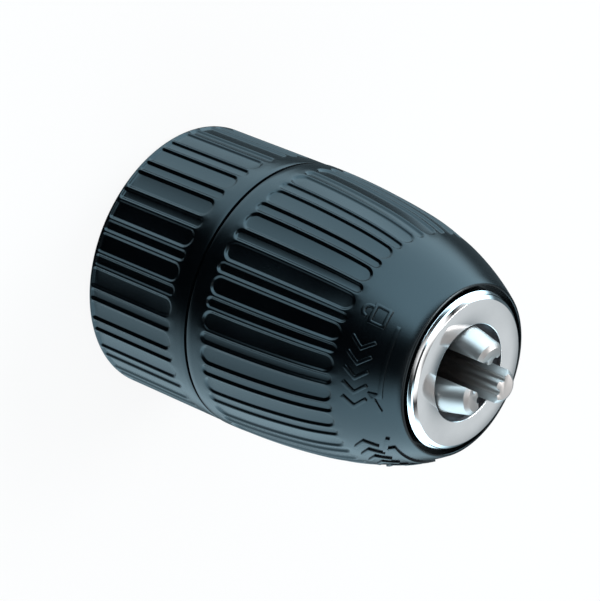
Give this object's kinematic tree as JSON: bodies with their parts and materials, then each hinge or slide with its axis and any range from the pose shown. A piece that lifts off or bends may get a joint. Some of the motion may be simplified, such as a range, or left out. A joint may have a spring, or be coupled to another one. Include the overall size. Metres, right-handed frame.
{
  "type": "drill chuck",
  "caption": "Keyless drill chuck with two grip sleeves: the front one turns a split nut that drives three sliding jaws.",
  "frame": {"origin": "centre of the body's rear face, where the spindle screws in", "axes": "+Z along the chuck from the spindle end to the nose, +Y through the third jaw"},
  "size_m": [0.043, 0.043, 0.0639],
  "materials": {
    "sleeve_plastic": "semi-gloss black glass-filled nylon",
    "bright_plating": "polished nickel plating",
    "jaw_steel": "ground and polished hardened steel",
    "body_steel": "turned steel, lightly oiled",
    "bearing_steel": "ground bearing steel",
    "cage_plastic": "natural nylon"
  },
  "bodies": {
    "body": {"chuck_body": "body_steel", "rear_sleeve": "sleeve_plastic", "nose_ring": "bright_plating", "rear_race": "bearing_steel"},
    "ball_ring": {"ball_cage": "cage_plastic", "bearing_ball_01": "bearing_steel", "bearing_ball_02": "bearing_steel", "bearing_ball_03": "bearing_steel", "bearing_ball_04": "bearing_steel", "bearing_ball_05": "bearing_steel", "bearing_ball_06": "bearing_steel", "bearing_ball_07": "bearing_steel", "bearing_ball_08": "bearing_steel", "bearing_ball_09": "bearing_steel"},
    "front_sleeve": {"front_sleeve": "sleeve_plastic", "nut_half_left": "body_steel", "nut_half_right": "body_steel", "nut_band": "body_steel", "front_race": "bearing_steel"},
    "jaw_1": {"jaw_1": "jaw_steel"},
    "jaw_2": {"jaw_2": "jaw_steel"},
    "jaw_3": {"jaw_3": "jaw_steel"}
  },
  "joints": [
    {"name": "sleeve_turn", "type": "hinge", "parent": "body", "child": "front_sleeve", "pos_m": [0, 0, 0.04], "axis": [0, 0, 1], "range_deg": [-1120, 2560]},
    {"name": "ball_ring_turn", "type": "hinge", "parent": "body", "child": "ball_ring", "pos_m": [0, 0, 0.033], "axis": [0, 0, 1], "range_deg": [-561, 1281]},
    {"name": "jaw_1_slide", "type": "slide", "parent": "body", "child": "jaw_1", "axis": [-0.2314, -0.1336, -0.9636], "range_m": [-0.00654, 0.01494]},
    {"name": "jaw_2_slide", "type": "slide", "parent": "body", "child": "jaw_2", "axis": [0.2314, -0.1336, -0.9636], "range_m": [-0.00654, 0.01494]},
    {"name": "jaw_3_slide", "type": "slide", "parent": "body", "child": "jaw_3", "axis": [0, 0.2672, -0.9636], "range_m": [-0.00654, 0.01494]}
  ],
  "couplings": [
    {"joint": "ball_ring_turn", "follows": "sleeve_turn", "ratio": 0.5},
    {"joint": "jaw_1_slide", "follows": "sleeve_turn", "m_per_rad": 0.00033423},
    {"joint": "jaw_2_slide", "follows": "sleeve_turn", "m_per_rad": 0.00033423},
    {"joint": "jaw_3_slide", "follows": "sleeve_turn", "m_per_rad": 0.00033423}
  ]
}
